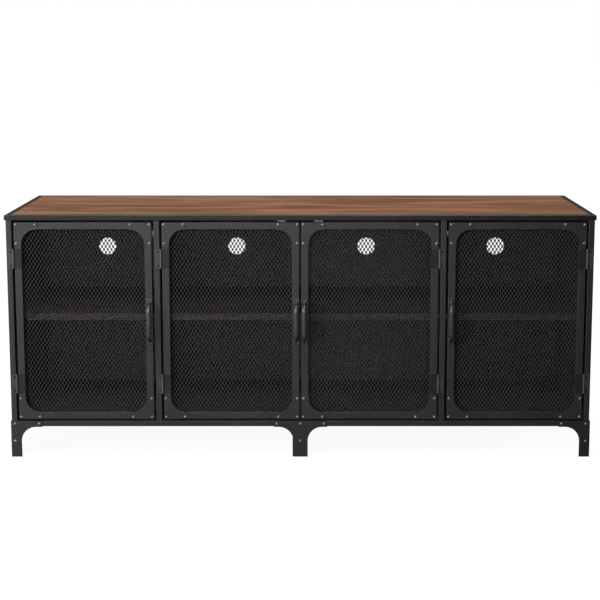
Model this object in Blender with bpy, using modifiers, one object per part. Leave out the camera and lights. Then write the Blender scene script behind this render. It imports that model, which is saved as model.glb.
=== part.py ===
"""Industrial media console: a steel frame with an inset wooden top, four expanded-metal doors on small
butt hinges, three bays with a shelf each, and riveted feet.

Metres, +Z up. The front faces -Y. The origin is on the floor, at the centre of the whole footprint.
"""

from math import cos, pi, sin

import bmesh
import bpy
from mathutils import Matrix, Vector

# ---- driving dimensions ----
WIDTH = 1.524
DEPTH = 0.406
HEIGHT = 0.643
GAP = 0.0003  # between pieces that touch or nearly touch

RING_W = 0.016  # top frame's section, seen from above
RING_H = 0.013  # top frame's section, seen from the front
RING_PROUD = 0.003  # top frame beyond the posts, all round

TUBE = 0.015  # square tube of the posts and the bottom rails
WALL = 0.0012
VENT_R = 0.0025  # drain hole of a closed tube ring

RAIL_Z = 0.082  # underside of the bottom rails
PLAY = 0.0055  # gap round each door
PAIR_GAP = 0.005  # gap between the two middle doors

DOOR_T = 0.015
STILE = 0.019
MESH_T = 0.0012
MESH_DEPTH = 0.007  # mesh behind the door's front face

GUSSET_LEG = 0.062
GUSSET_T = 0.0015
GUSSET_ARC = 0.038
ARC_STEPS = 6

RIVET_R = 0.0029
RIVET_H = 0.0016
RIVET_SINK = 0.0008
RIVET_TOP_R = 0.0018
RIVET_SIDES = 6
RIVET_EDGE = 0.0056  # from a plate's outer edge to a rivet
RIVET_ALONG = 0.055  # from a door's corner to the rivet near the end of a gusset's leg

PIN_R = 0.0015
PIN_END = 0.001  # pin beyond the knuckles
KNUCKLE_R = 0.003
NECK_START = 0.00225  # where a leaf's neck meets its knuckle, from the axis
HINGE_LENGTH = 0.051
HINGE_SIDES = 12
HINGE_FROM_END = 0.095  # hinge's middle from the door's top or bottom edge
LEAF_T = 0.0012
POST_LEAF_REACH = 0.0148
DOOR_LEAF_REACH = 0.0215
HINGE_OUT = 0.0026  # hinge axis in front of the door's face

HANDLE_OUT = 0.028
HANDLE_LENGTH = 0.122
HANDLE_FROM_EDGE = 0.0079  # handle's middle from its door's free edge
HANDLE_FOOT_W = 0.0154
HANDLE_FOOT_TIP = 0.0086  # a foot's width at its neck's end
HANDLE_FOOT_H = 0.017
HANDLE_FOOT_T = 0.0025
GRIP_W = 0.0124
GRIP_T = 0.0084
# Half of the bow, from a foot to the grip's middle. Each station is a share of half the handle's length,
# then the shares there of the grip's distance from the door, of its width and of its depth.
HANDLE_BOW = (
    (0.87, 0.04, 0.58, 0.76),
    (0.80, 0.24, 0.54, 0.76),
    (0.755, 0.60, 0.57, 0.79),
    (0.69, 0.88, 0.69, 0.87),
    (0.56, 0.985, 0.90, 0.98),
    (0.33, 1.0, 1.0, 1.0),
)
HANDLE_SIDES = 12

PANEL_T = 0.012
BACK_T = 0.005
BACK_INSET = 0.391  # from the top frame's front to the back panel
HOLE_R = 0.025
HOLE_Z = 0.4965
HOLE_PITCH = 0.375
HOLE_SIDES = 24
SHELF_TOP = 0.377
SHELF_T = 0.018
SHELF_SETBACK = 0.035

PLATE_T = 0.002  # foot plates
FOOT_W = 0.028
CENTRE_FOOT_W = 0.038
FOOT_ARC = 0.038
ARM_DROP = 0.001  # a foot's arm below the rail
CORNER_REACH = 0.083  # corner foot's plate along the rail
CENTRE_REACH = 0.070  # the same for a centre foot, from its middle
FOOT_RIVET_Z = 0.043
FOOT_RIVET_IN = 0.0107
FOOT_RIVET_END = 0.008
FLANGE_D = 0.015

CATCH_SIZE = Vector((0.021, 0.016, 0.014))
CATCH_X = 0.048
SIDE_CATCH_Z = 0.585

# ---- derived places ----
FRONT_REACH = HANDLE_OUT + GAP - RING_PROUD  # the handles, beyond the top frame's front
REAR_REACH = GAP + PLATE_T + RIVET_H - RING_PROUD  # the rear feet's rivets, beyond its back
RING_FRONT = (FRONT_REACH - REAR_REACH - DEPTH) / 2
RING_BACK = RING_FRONT + DEPTH
FACE = RING_FRONT + RING_PROUD  # front plane of the posts and doors
REAR = RING_BACK - RING_PROUD
POST_X = WIDTH / 2 - RING_PROUD
BAY_X = POST_X - TUBE
RAIL_TOP = RAIL_Z + TUBE
RAIL_MIDDLE = RAIL_Z + TUBE / 2
ARM_Z = RAIL_Z - ARM_DROP
UNDER_TOP = HEIGHT - RING_H
DOOR_BOTTOM = RAIL_TOP + PLAY
DOOR_TOP = UNDER_TOP - PLAY
DOOR_MIDDLE = (DOOR_BOTTOM + DOOR_TOP) / 2
DOOR_W = (2 * BAY_X - 2 * TUBE - 6 * PLAY - PAIR_GAP) / 4
DIVIDER_X = BAY_X - 2 * PLAY - DOOR_W - TUBE / 2
BEHIND_POST = FACE + TUBE
BACK_PANEL_Y = RING_FRONT + BACK_INSET
HINGE_Y = FACE - HINGE_OUT
CUT = 0.01  # a cutter's extra length past the face that it cuts
STEP = 0.0001  # between the faces of joined plates that would otherwise lie in one plane
SMOOTH_ANGLE = pi / 5

MATERIALS = {}


# ---- scene and materials ----
def clear_scene():
    for obj in list(bpy.data.objects):
        bpy.data.objects.remove(obj, do_unlink=True)


def new_collection(name):
    collection = bpy.data.collections.new(name)
    bpy.context.scene.collection.children.link(collection)
    return collection


def make_material(name, colour, roughness, metallic):
    material = bpy.data.materials.new(name)
    material.use_nodes = True
    shader = material.node_tree.nodes["Principled BSDF"]
    shader.inputs["Base Color"].default_value = (*colour, 1)
    shader.inputs["Roughness"].default_value = roughness
    shader.inputs["Metallic"].default_value = metallic
    material.diffuse_color = (*colour, 1)
    MATERIALS[name] = material


def make_materials():
    make_material("frame_steel", (0.035, 0.035, 0.037), 0.5, 0.2)
    make_material("door_steel", (0.032, 0.032, 0.034), 0.5, 0.2)
    make_material("mesh_steel", (0.02, 0.02, 0.021), 0.55, 0.2)
    make_material("hinge_steel", (0.03, 0.03, 0.032), 0.42, 0.4)
    make_material("handle_steel", (0.04, 0.04, 0.041), 0.38, 0.4)
    make_material("walnut", (0.22, 0.10, 0.055), 0.5, 0.0)
    make_material("shelf_walnut", (0.16, 0.08, 0.045), 0.55, 0.0)
    make_material("black_panel", (0.03, 0.03, 0.03), 0.6, 0.0)
    make_material("catch_plastic", (0.45, 0.45, 0.45), 0.5, 0.0)


# ---- building blocks ----
def add(name, mesh, material, parent=None):
    """A piece whose mesh is in world coordinates, hung on parent if there is one."""
    obj = bpy.data.objects.new(name, mesh)
    PARTS.objects.link(obj)
    mesh.materials.clear()
    mesh.materials.append(MATERIALS[material])
    hang(obj, parent)
    return obj


def helper(name, mesh, parent=None):
    """A body that a Boolean takes away or adds."""
    obj = bpy.data.objects.new(name, mesh)
    HELPERS.objects.link(obj)
    obj.hide_render = True
    obj.display_type = "WIRE"
    hang(obj, parent)
    return obj


def hang(obj, parent):
    """The mesh moves so that the object's origin is on its parent's, which is on the joint's axis."""
    if parent is None:
        return
    obj.data.transform(Matrix.Translation(-parent.location))
    obj.parent = parent


def boolean(obj, other, operation):
    modifier = obj.modifiers.new(f"{operation.lower()}_{other.name}", "BOOLEAN")
    modifier.operation = operation
    modifier.object = other
    return obj


def mesh_from(name, bm):
    mesh = bpy.data.meshes.new(name)
    bm.to_mesh(mesh)
    bm.free()
    return mesh


def box_mesh(name, low, high):
    """A box between two corners."""
    low = Vector(low)
    high = Vector(high)
    bm = bmesh.new()
    size = Matrix.Diagonal((*(high - low), 1))
    bmesh.ops.create_cube(bm, size=1, matrix=Matrix.Translation((low + high) / 2) @ size)
    return mesh_from(name, bm)


def box(name, low, high, material, parent=None):
    return add(name, box_mesh(name, low, high), material, parent)


def tube(name, low, high, material, open_ends):
    """A box section with the ends named in open_ends, such as (0, 0, 1), left open."""
    mesh = box_mesh(name, low, high)
    bm = bmesh.new()
    bm.from_mesh(mesh)
    ends = [face for face in bm.faces if any(face.normal.dot(Vector(end)) > 0.9 for end in open_ends)]
    bmesh.ops.delete(bm, geom=ends, context="FACES")
    bm.to_mesh(mesh)
    bm.free()
    obj = add(name, mesh, material)
    shell = obj.modifiers.new("wall", "SOLIDIFY")
    shell.thickness = WALL
    shell.offset = -1
    shell.use_even_offset = True
    return obj


def smooth(mesh):
    """Round sides are shaded smooth, and the edges of their ends stay sharp."""
    mesh.shade_smooth()
    mesh.set_sharp_from_angle(angle=SMOOTH_ANGLE)
    return mesh


def weld(mesh):
    bm = bmesh.new()
    bm.from_mesh(mesh)
    bmesh.ops.remove_doubles(bm, verts=bm.verts, dist=0.00001)
    bmesh.ops.recalc_face_normals(bm, faces=bm.faces)
    bm.to_mesh(mesh)
    bm.free()
    return smooth(mesh)


def curve_to_mesh(curve):
    obj = bpy.data.objects.new(curve.name, curve)
    HELPERS.objects.link(obj)
    graph = bpy.context.evaluated_depsgraph_get()
    mesh = bpy.data.meshes.new_from_object(obj.evaluated_get(graph))
    bpy.data.objects.remove(obj)
    return weld(mesh)


def plate_mesh(name, outline, thickness):
    """A flat plate of the outline, in the XY plane, centred on it in Z."""
    curve = bpy.data.curves.new(name, "CURVE")
    curve.dimensions = "2D"
    curve.fill_mode = "BOTH"
    curve.extrude = thickness / 2
    spline = curve.splines.new("POLY")
    spline.points.add(len(outline) - 1)
    for point, (x, y) in zip(spline.points, outline):
        point.co = (x, y, 0, 1)
    spline.use_cyclic_u = True
    return curve_to_mesh(curve)


def arc(centre, radius, start, end):
    """Points from angle start to angle end, in radians."""
    points = []
    for step in range(ARC_STEPS + 1):
        angle = start + (end - start) * step / ARC_STEPS
        points.append((centre[0] + radius * cos(angle), centre[1] + radius * sin(angle)))
    return points


def joined(name, meshes):
    """Several closed meshes as the islands of one."""
    bm = bmesh.new()
    for mesh in meshes:
        bm.from_mesh(mesh)
    return mesh_from(name, bm)


def moved(mesh, matrix):
    """A copy of the mesh, turned right side out again where the matrix mirrors it."""
    copy = mesh.copy()
    copy.transform(matrix)
    if matrix.determinant() < 0:
        copy.flip_normals()
    return copy


def cylinder_mesh(name, radius, low, high, sides=HINGE_SIDES, end_radius=None):
    """A round bar, or a cone if end_radius is given, between two points."""
    low = Vector(low)
    high = Vector(high)
    turn = (high - low).to_track_quat("Z", "Y").to_matrix().to_4x4()
    bm = bmesh.new()
    bmesh.ops.create_cone(
        bm,
        cap_ends=True,
        segments=sides,
        radius1=radius,
        radius2=radius if end_radius is None else end_radius,
        depth=(high - low).length,
        matrix=Matrix.Translation((low + high) / 2) @ turn,
    )
    return smooth(mesh_from(name, bm))


def rivet_mesh(point, out):
    """A low dome standing on a face at point, with out as the face's normal."""
    point = Vector(point)
    out = Vector(out)
    foot = point - out * RIVET_SINK
    return cylinder_mesh("rivet", RIVET_R, foot, point + out * RIVET_H, RIVET_SIDES, RIVET_TOP_R)


FRONT_PLANE = Matrix.Rotation(pi / 2, 4, "X")  # an outline's (x, y) to the object's (x, z)
SIDE_PLANE = Matrix(((0, 0, 1, 0), (1, 0, 0, 0), (0, 1, 0, 0), (0, 0, 0, 1)))  # and to (y, z)


# ---- top ----
def ring_helper(name, low, high, bar_x, bar_y, parent=None):
    """The hollow inside a rectangular ring of tube that lies flat."""
    ring = helper(name, box_mesh(name, low, high), parent)
    inner_low = (low[0] + bar_x, low[1] + bar_y, low[2] - CUT)
    inner_high = (high[0] - bar_x, high[1] - bar_y, high[2] + CUT)
    core = helper(name + "_core", box_mesh(name + "_core", inner_low, inner_high), parent)
    return boolean(ring, core, "DIFFERENCE")


def top_frame():
    half = WIDTH / 2
    ring = box("top_frame", (-half, RING_FRONT, UNDER_TOP), (half, RING_BACK, HEIGHT), "frame_steel")
    low = (-half + RING_W, RING_FRONT + RING_W, UNDER_TOP - CUT)
    high = (half - RING_W, RING_BACK - RING_W, HEIGHT + CUT)
    boolean(ring, helper("top_frame_opening", box_mesh("top_frame_opening", low, high)), "DIFFERENCE")
    hollow = ring_helper(
        "top_frame_hollow",
        (-half + WALL, RING_FRONT + WALL, UNDER_TOP + WALL),
        (half - WALL, RING_BACK - WALL, HEIGHT - WALL),
        RING_W - 2 * WALL,
        RING_W - 2 * WALL,
    )
    boolean(ring, hollow, "DIFFERENCE")
    vent_y = RING_BACK - RING_W / 2
    vent = cylinder_mesh("vent", VENT_R, (0, vent_y, UNDER_TOP - CUT), (0, vent_y, HEIGHT - 2 * WALL))
    boolean(ring, helper("top_frame_vent", vent), "DIFFERENCE")


def tabletop():
    edge = RING_W + GAP
    low = (-WIDTH / 2 + edge, RING_FRONT + edge, UNDER_TOP)
    high = (WIDTH / 2 - edge, RING_BACK - edge, HEIGHT)
    box("tabletop", low, high, "walnut")


# ---- lower frame ----
def posts():
    for y_name, y in (("front", FACE), ("rear", REAR - TUBE)):
        for x_name, x in (("left", -POST_X), ("right", POST_X - TUBE)):
            low = (x, y, 0)
            high = (x + TUBE, y + TUBE, UNDER_TOP - GAP)
            tube(f"corner_post_{y_name}_{x_name}", low, high, "frame_steel", [(0, 0, 1)])
    for x_name, x in (("left", -DIVIDER_X), ("right", DIVIDER_X)):
        low = (x - TUBE / 2, FACE, RAIL_TOP + GAP)
        high = (x + TUBE / 2, BEHIND_POST, UNDER_TOP - GAP)
        tube(f"divider_post_{x_name}", low, high, "frame_steel", [(0, 0, 1), (0, 0, -1)])


def bottom_rails():
    for y_name, y in (("front", FACE), ("rear", REAR - TUBE)):
        low = (-BAY_X + GAP, y, RAIL_Z)
        high = (BAY_X - GAP, y + TUBE, RAIL_TOP)
        tube(f"bottom_rail_{y_name}", low, high, "frame_steel", [(1, 0, 0), (-1, 0, 0)])
    for x_name, x in (("left", -POST_X), ("right", POST_X - TUBE)):
        low = (x, BEHIND_POST + GAP, RAIL_Z)
        high = (x + TUBE, REAR - TUBE - GAP, RAIL_TOP)
        tube(f"bottom_rail_{x_name}", low, high, "frame_steel", [(0, 1, 0), (0, -1, 0)])


def corner_outline(trim=0):
    """An upright leg from the floor with an arm along the rail, and an arc in the corner between them."""
    bend = arc((FOOT_W + FOOT_ARC, ARM_Z - FOOT_ARC), FOOT_ARC, pi, pi / 2)
    low = trim
    high = RAIL_TOP - trim
    tip = (CORNER_REACH, ARM_Z + STEP)
    return [(trim, low), (FOOT_W, low), *bend, tip, (CORNER_REACH, high), (trim, high)]


def corner_feet():
    """Each is one bent plate, outside a corner post and the rails that meet there."""
    front_plate = plate_mesh("foot_plate", corner_outline(), PLATE_T)
    side_plate = plate_mesh("foot_side", corner_outline(STEP), PLATE_T)
    spots = (
        (FOOT_RIVET_IN, RAIL_MIDDLE),
        (CORNER_REACH - FOOT_RIVET_END, RAIL_MIDDLE),
        (FOOT_RIVET_IN, FOOT_RIVET_Z),
    )
    corner = Vector((-POST_X - GAP - PLATE_T, FACE - GAP - PLATE_T, 0))
    place = Matrix.Translation(corner + Vector((0, PLATE_T / 2, 0)))
    front = moved(front_plate, place @ FRONT_PLANE)
    place = Matrix.Translation(corner + Vector((PLATE_T / 2 + STEP, 0, 0)))
    side = moved(side_plate, place @ SIDE_PLANE)
    rivets = [rivet_mesh(corner + Vector((u, 0, z)), (0, -1, 0)) for u, z in spots]
    rivets += [rivet_mesh(corner + Vector((0, u, z)), (-1, 0, 0)) for u, z in spots]
    rivets = joined("foot_rivets", rivets)
    middle = (FACE + REAR) / 2
    for y_name, y_sign in (("front", 1), ("rear", -1)):
        for x_name, x_sign in (("left", 1), ("right", -1)):
            name = f"foot_{y_name}_{x_name}"
            # The mirror about the middle of the posts takes the front left foot to each other corner.
            mirror = Matrix.Translation((0, middle, 0)) @ Matrix.Diagonal((x_sign, y_sign, 1, 1))
            mirror = mirror @ Matrix.Translation((0, -middle, 0))
            foot = add(name, moved(front, mirror), "frame_steel")
            boolean(foot, helper(name + "_side", moved(side, mirror)), "UNION")
            boolean(foot, helper(name + "_rivets", moved(rivets, mirror)), "UNION")


def centre_feet():
    """Each is a plate with two arms, folded back at both sides of its leg."""
    half = CENTRE_FOOT_W / 2
    bend = arc((half + FOOT_ARC, ARM_Z - FOOT_ARC), FOOT_ARC, pi, pi / 2)
    right = [(half, 0), *bend, (CENTRE_REACH, ARM_Z + STEP), (CENTRE_REACH, RAIL_TOP)]
    left = [(-x, z) for x, z in reversed(right)]
    plate = plate_mesh("centre_foot_plate", right + left, PLATE_T)
    spots = ((0, RAIL_MIDDLE), (0, FOOT_RIVET_Z))
    spots += tuple((sign * (CENTRE_REACH - FOOT_RIVET_END), RAIL_MIDDLE) for sign in (-1, 1))
    outer = FACE - GAP - PLATE_T
    front = moved(plate, Matrix.Translation((0, outer + PLATE_T / 2, 0)) @ FRONT_PLANE)
    rivets = joined("centre_rivets", [rivet_mesh((x, outer, z), (0, -1, 0)) for x, z in spots])
    flanges = []
    for x in (-half + STEP, half - PLATE_T - STEP):
        low = (x, outer + PLATE_T / 2, STEP)
        high = (x + PLATE_T, outer + FLANGE_D, RAIL_Z - GAP)
        flanges.append(box_mesh("flange", low, high))
    flanges = joined("centre_flanges", flanges)
    middle = (FACE + REAR) / 2
    for y_name, y_sign in (("front", 1), ("rear", -1)):
        name = f"foot_{y_name}_centre"
        mirror = Matrix.Translation((0, middle, 0)) @ Matrix.Diagonal((1, y_sign, 1, 1))
        mirror = mirror @ Matrix.Translation((0, -middle, 0))
        foot = add(name, moved(front, mirror), "frame_steel")
        boolean(foot, helper(name + "_flanges", moved(flanges, mirror)), "UNION")
        boolean(foot, helper(name + "_rivets", moved(rivets, mirror)), "UNION")


# ---- panels, shelves and catches ----
def panels():
    low_z = RAIL_TOP + GAP
    high_z = UNDER_TOP - GAP
    rear_limit = REAR - TUBE - GAP
    low = (-BAY_X + GAP, BEHIND_POST + GAP, RAIL_TOP - PANEL_T)
    box("bottom_panel", low, (BAY_X - GAP, rear_limit, RAIL_TOP), "black_panel")
    for name, sign in (("left", -1), ("right", 1)):
        middle = sign * (POST_X - TUBE / 2)
        low = (middle - PANEL_T / 2, BEHIND_POST + GAP, low_z)
        box(f"side_panel_{name}", low, (middle + PANEL_T / 2, rear_limit, high_z), "black_panel")
        middle = sign * DIVIDER_X
        low = (middle - PANEL_T / 2, BEHIND_POST + GAP, low_z)
        high = (middle + PANEL_T / 2, BACK_PANEL_Y - GAP, high_z)
        box(f"partition_{name}", low, high, "black_panel")


def back_panel():
    low = (-BAY_X + GAP, BACK_PANEL_Y, RAIL_TOP + GAP)
    high = (BAY_X - GAP, BACK_PANEL_Y + BACK_T, UNDER_TOP - GAP)
    panel = box("back_panel", low, high, "black_panel")
    holes = []
    for place in (-1.5, -0.5, 0.5, 1.5):
        x = place * HOLE_PITCH
        start = (x, BACK_PANEL_Y - CUT, HOLE_Z)
        end = (x, BACK_PANEL_Y + BACK_T + CUT, HOLE_Z)
        holes.append(cylinder_mesh("hole", HOLE_R, start, end, HOLE_SIDES))
    boolean(panel, helper("cable_holes", joined("cable_holes", holes)), "DIFFERENCE")


def shelves():
    front = FACE + SHELF_SETBACK
    inner = DIVIDER_X - PANEL_T / 2 - GAP
    outer = DIVIDER_X + PANEL_T / 2 + GAP
    spans = (("left", -BAY_X + GAP, -outer), ("centre", -inner, inner), ("right", outer, BAY_X - GAP))
    for name, start, end in spans:
        low = (start, front, SHELF_TOP - SHELF_T)
        box(f"shelf_{name}", low, (end, BACK_PANEL_Y - GAP, SHELF_TOP), "shelf_walnut")


def catches():
    """The middle doors close on catches under the top, and the outer doors on catches on the partitions."""
    front = FACE + DOOR_T + 0.001
    half = CATCH_SIZE.x / 2
    top = UNDER_TOP - GAP
    side = DIVIDER_X + PANEL_T / 2 + GAP
    places = (
        (-side - CATCH_SIZE.x, SIDE_CATCH_Z),
        (-CATCH_X - half, top - CATCH_SIZE.z),
        (CATCH_X - half, top - CATCH_SIZE.z),
        (side, SIDE_CATCH_Z),
    )
    for number, (x, z) in enumerate(places, 1):
        low = Vector((x, front, z))
        box(f"magnetic_catch_{number}", low, low + CATCH_SIZE, "catch_plastic")


# ---- doors ----
def gusset_outline():
    """A corner plate from the door's corner at the origin, with a round inner edge."""
    inner = STILE + STEP
    reach = inner + GUSSET_ARC
    bend = arc((reach, reach), GUSSET_ARC, 1.5 * pi, pi)
    long_leg = [(STEP, STEP), (GUSSET_LEG, STEP), (GUSSET_LEG, inner)]
    return [*long_leg, *bend, (inner, GUSSET_LEG), (STEP, GUSSET_LEG)]


def corners_of(left, right):
    """The door's four corners, with the signs that turn a plate into each of them."""
    for z, z_sign in ((DOOR_BOTTOM, 1), (DOOR_TOP, -1)):
        for x, x_sign in ((left, 1), (right, -1)):
            yield x, z, x_sign, z_sign


def gussets_mesh(left, right):
    thickness = GUSSET_T + WALL / 2  # half of the tube's wall is inside the plate, to join them
    plate = plate_mesh("gusset", gusset_outline(), thickness)
    plate.transform(Matrix.Translation((0, thickness / 2 - GUSSET_T, 0)) @ FRONT_PLANE)
    plates = []
    for x, z, x_sign, z_sign in corners_of(left, right):
        place = Matrix.Translation((x, FACE, z)) @ Matrix.Diagonal((x_sign, 1, z_sign, 1))
        plates.append(moved(plate, place))
    return joined("gussets", plates)


def door_rivets_mesh(left, right):
    spots = ((RIVET_EDGE, RIVET_EDGE), (RIVET_ALONG, RIVET_EDGE), (RIVET_EDGE, RIVET_ALONG))
    rivets = []
    for x, z, x_sign, z_sign in corners_of(left, right):
        for u, v in spots:
            point = (x + x_sign * u, FACE - GUSSET_T, z + z_sign * v)
            rivets.append(rivet_mesh(point, (0, -1, 0)))
    return joined("door_rivets", rivets)


def door_frame(name, left, right, pivot):
    """A closed ring of tube with a gusset plate on each front corner."""
    back = FACE + DOOR_T
    frame = box(name, (left, FACE, DOOR_BOTTOM), (right, back, DOOR_TOP), "door_steel", pivot)
    low = (left + STILE, FACE - CUT, DOOR_BOTTOM + STILE)
    high = (right - STILE, back + CUT, DOOR_TOP - STILE)
    boolean(frame, helper(name + "_opening", box_mesh("opening", low, high), pivot), "DIFFERENCE")
    low = (left + WALL, FACE + WALL, DOOR_BOTTOM + WALL)
    high = (right - WALL, back - WALL, DOOR_TOP - WALL)
    hollow = helper(name + "_hollow", box_mesh("hollow", low, high), pivot)
    bar = STILE - 2 * WALL
    core_low = (low[0] + bar, low[1] - CUT, low[2] + bar)
    core_high = (high[0] - bar, high[1] + CUT, high[2] - bar)
    core = helper(name + "_core", box_mesh("core", core_low, core_high), pivot)
    boolean(frame, boolean(hollow, core, "DIFFERENCE"), "DIFFERENCE")
    vent_x = (left + right) / 2
    vent_y = FACE + DOOR_T / 2
    start = (vent_x, vent_y, DOOR_BOTTOM - CUT)
    vent = cylinder_mesh("vent", VENT_R, start, (vent_x, vent_y, DOOR_BOTTOM + 3 * WALL))
    boolean(frame, helper(name + "_vent", vent, pivot), "DIFFERENCE")
    boolean(frame, helper(name + "_gussets", gussets_mesh(left, right), pivot), "UNION")
    boolean(frame, helper(name + "_rivets", door_rivets_mesh(left, right), pivot), "UNION")


def door_mesh(name, left, right, pivot):
    """The expanded metal's outer shape, inside the frame and behind its gussets."""
    edge = STILE + GAP
    low = (left + edge, FACE + MESH_DEPTH, DOOR_BOTTOM + edge)
    high = (right - edge, FACE + MESH_DEPTH + MESH_T, DOOR_TOP - edge)
    box(name, low, high, "mesh_steel", pivot)


def handle_bow_mesh(x):
    """A bow with an oval section: narrow at the necks by its feet, and wide along the grip."""
    rise = HANDLE_OUT - GRIP_T / 2
    half = HANDLE_LENGTH / 2
    upper = [(z * half, out * rise, wide, deep) for z, out, wide, deep in HANDLE_BOW]
    stations = [*upper, *((-z, out, wide, deep) for z, out, wide, deep in reversed(upper))]
    bm = bmesh.new()
    rings = []
    for number, (z, out, wide, deep) in enumerate(stations):
        before = stations[max(number - 1, 0)]
        after = stations[min(number + 1, len(stations) - 1)]
        along = Vector((0, before[1] - after[1], after[0] - before[0])).normalized()
        across = Vector((1, 0, 0))
        centre = Vector((x, FACE - GAP - out, DOOR_MIDDLE + z))
        ring = []
        for side in range(HANDLE_SIDES):
            angle = 2 * pi * side / HANDLE_SIDES
            sideways = across * (wide * GRIP_W / 2 * cos(angle))
            outward = along.cross(across) * (deep * GRIP_T / 2 * sin(angle))
            ring.append(bm.verts.new(centre + sideways + outward))
        rings.append(ring)
    for lower, upper in zip(rings, rings[1:]):
        for side in range(HANDLE_SIDES):
            after = (side + 1) % HANDLE_SIDES
            bm.faces.new((lower[side], lower[after], upper[after], upper[side]))
    for ring in (rings[0], rings[-1]):
        bm.faces.new(ring)
    bmesh.ops.recalc_face_normals(bm, faces=bm.faces)
    return smooth(mesh_from("handle_bow", bm))


def handle_foot_outline(end):
    """A spade from the handle's end towards its middle, above the middle if end is positive."""
    wide = HANDLE_FOOT_W / 2
    tip = HANDLE_FOOT_TIP / 2
    half = HANDLE_LENGTH / 2
    shoulder = half - HANDLE_FOOT_H / 2
    side = [(wide, half), (wide, shoulder), (tip, half - HANDLE_FOOT_H)]
    outline = [*side, *((-x, z) for x, z in reversed(side))]
    return [(x, end * z) for x, z in outline]


def door_handle(name, x, pivot):
    feet = []
    for end in (-1, 1):
        foot = plate_mesh("handle_foot", handle_foot_outline(end), HANDLE_FOOT_T)
        place = Matrix.Translation((x, FACE - GAP - HANDLE_FOOT_T / 2, DOOR_MIDDLE))
        feet.append(moved(foot, place @ FRONT_PLANE))
    handle = add(name, joined(name, feet), "handle_steel", pivot)
    bow = helper(name + "_bow", handle_bow_mesh(x), pivot)
    trim = box_mesh("trim", (x - CUT, FACE - GAP, DOOR_BOTTOM), (x + CUT, FACE + CUT, DOOR_TOP))
    boolean(handle, bow, "UNION")
    boolean(handle, helper(name + "_trim", trim, pivot), "DIFFERENCE")


# ---- hinges ----
def leaf_mesh(name, axis_x, side, middle, reach, knuckles):
    """A flat leaf on one side of the axis, with a neck to each of its knuckles' spans."""
    back = FACE - GAP
    front = back - LEAF_T
    start = KNUCKLE_R + GAP
    low_z = middle - HINGE_LENGTH / 2
    high_z = middle + HINGE_LENGTH / 2
    near, far = sorted((axis_x + side * start, axis_x + side * reach))
    parts = [box_mesh(name, (near, front, low_z), (far, back, high_z))]
    for low, high in knuckles:
        near, far = sorted((axis_x + side * NECK_START, axis_x + side * (start + LEAF_T)))
        parts.append(box_mesh(name + "_neck", (near, front, low), (far, back, high)))
    return parts


def union_of(name, meshes, material, pivot=None):
    """A piece made of overlapping bodies, joined one after another."""
    first, *others = meshes
    piece = add(name, first, material, pivot)
    for number, mesh in enumerate(others, 1):
        boolean(piece, helper(f"{name}_join_{number}", mesh, pivot), "UNION")
    return piece


def hinge(door, place, axis_x, door_side, middle, pivot):
    """The post leaf holds the pin and the two outer knuckles, and the door leaf has the middle one."""
    third = HINGE_LENGTH / 3
    low_z = middle - HINGE_LENGTH / 2
    high_z = middle + HINGE_LENGTH / 2
    outer = ((low_z, low_z + third - GAP / 2), (high_z - third + GAP / 2, high_z))
    inner = (low_z + third + GAP / 2, high_z - third - GAP / 2)

    parts = leaf_mesh("post_leaf", axis_x, -door_side, middle, POST_LEAF_REACH, outer)
    for low, high in outer:
        start = (axis_x, HINGE_Y, low)
        parts.append(cylinder_mesh("knuckle", KNUCKLE_R, start, (axis_x, HINGE_Y, high)))
    ends = ((axis_x, HINGE_Y, low_z - PIN_END), (axis_x, HINGE_Y, high_z + PIN_END))
    parts.append(cylinder_mesh("pin", PIN_R, *ends))
    union_of(f"hinge_{door}_{place}_post_leaf", parts, "hinge_steel")

    parts = leaf_mesh("door_leaf", axis_x, door_side, middle, DOOR_LEAF_REACH, (inner,))
    knuckle = cylinder_mesh("knuckle", KNUCKLE_R, *((axis_x, HINGE_Y, z) for z in inner))
    name = f"hinge_{door}_{place}_door_leaf"
    leaf = union_of(name, [*parts, knuckle], "hinge_steel", pivot)
    bore = cylinder_mesh("bore", PIN_R + GAP, *((axis_x, HINGE_Y, z) for z in (low_z, high_z)))
    boolean(leaf, helper(name + "_bore", bore, pivot), "DIFFERENCE")


def doors():
    """Doors 1 and 2 hang at their left edge, and doors 3 and 4 at their right edge."""
    lefts = (-BAY_X + PLAY, -PAIR_GAP / 2 - DOOR_W, PAIR_GAP / 2, BAY_X - PLAY - DOOR_W)
    for number, (left, door_side) in enumerate(zip(lefts, (1, 1, -1, -1)), 1):
        right = left + DOOR_W
        hung = left if door_side > 0 else right
        free = right if door_side > 0 else left
        axis_x = hung - door_side * PLAY / 2
        pivot = bpy.data.objects.new(f"door_{number}_pivot", None)
        PARTS.objects.link(pivot)
        pivot.location = (axis_x, HINGE_Y, DOOR_MIDDLE)
        door_frame(f"door_{number}_frame", left, right, pivot)
        door_mesh(f"door_{number}_mesh", left, right, pivot)
        door_handle(f"door_{number}_handle", free - door_side * HANDLE_FROM_EDGE, pivot)
        hinge(number, "upper", axis_x, door_side, DOOR_TOP - HINGE_FROM_END, pivot)
        hinge(number, "lower", axis_x, door_side, DOOR_BOTTOM + HINGE_FROM_END, pivot)


clear_scene()
PARTS = new_collection("media_console")
HELPERS = new_collection("boolean_helpers")
make_materials()
top_frame()
tabletop()
posts()
bottom_rails()
corner_feet()
centre_feet()
panels()
back_panel()
shelves()
catches()
doors()
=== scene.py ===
"""The looks of the industrial media console: powder-coated steel with riveted corner plates, expanded-metal
doors, a walnut top and shelves, black panels. Metres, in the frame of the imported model."""

from math import asin, cos, pi, radians, sin

import bmesh
import bpy
from mathutils import Matrix, Vector


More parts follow.
